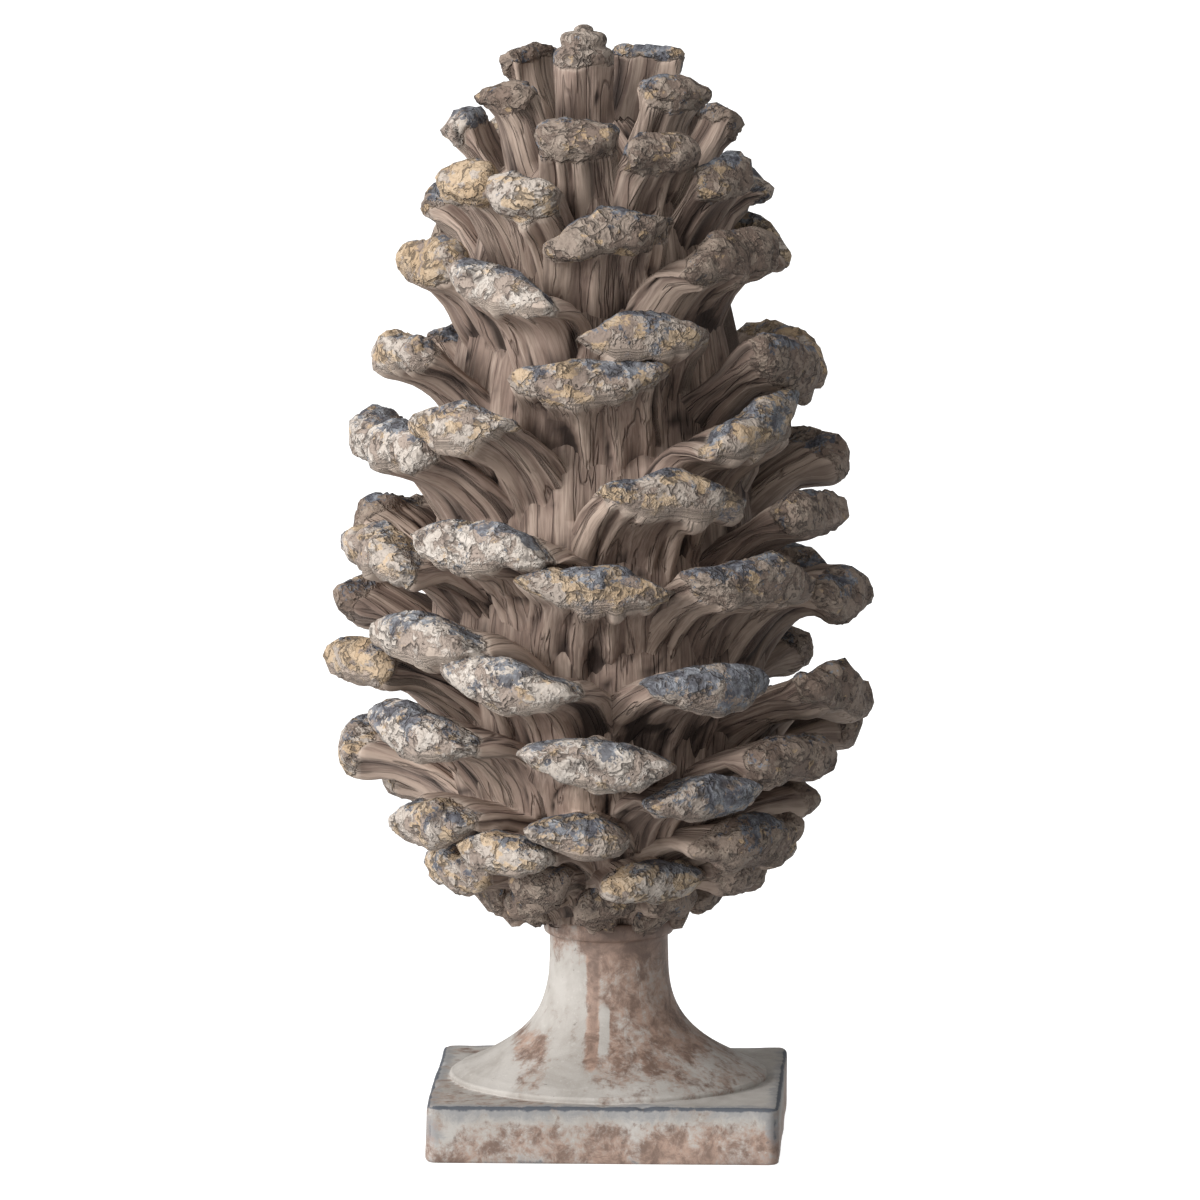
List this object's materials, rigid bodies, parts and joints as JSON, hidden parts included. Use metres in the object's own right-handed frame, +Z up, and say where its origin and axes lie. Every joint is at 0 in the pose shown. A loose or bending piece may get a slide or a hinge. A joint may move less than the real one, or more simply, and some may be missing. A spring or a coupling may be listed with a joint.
{
  "type": "pinecone finial",
  "caption": "Open pine cone of woody, flared scales on a turned trumpet foot with a square plinth; stands on its own weight.",
  "frame": {"origin": "centre of the plinth's underside", "axes": "+Z up along the pedestal's axis, towards the cone's tip; the front faces -Y, square to the plinth's side"},
  "size_m": [0.2888, 0.2935, 0.6],
  "materials": {
    "cone_finish": "matte",
    "pedestal_finish": "matte"
  },
  "bodies": {
    "root": {"pinecone": "cone_finish", "pedestal": "pedestal_finish"}
  },
  "joints": []
}
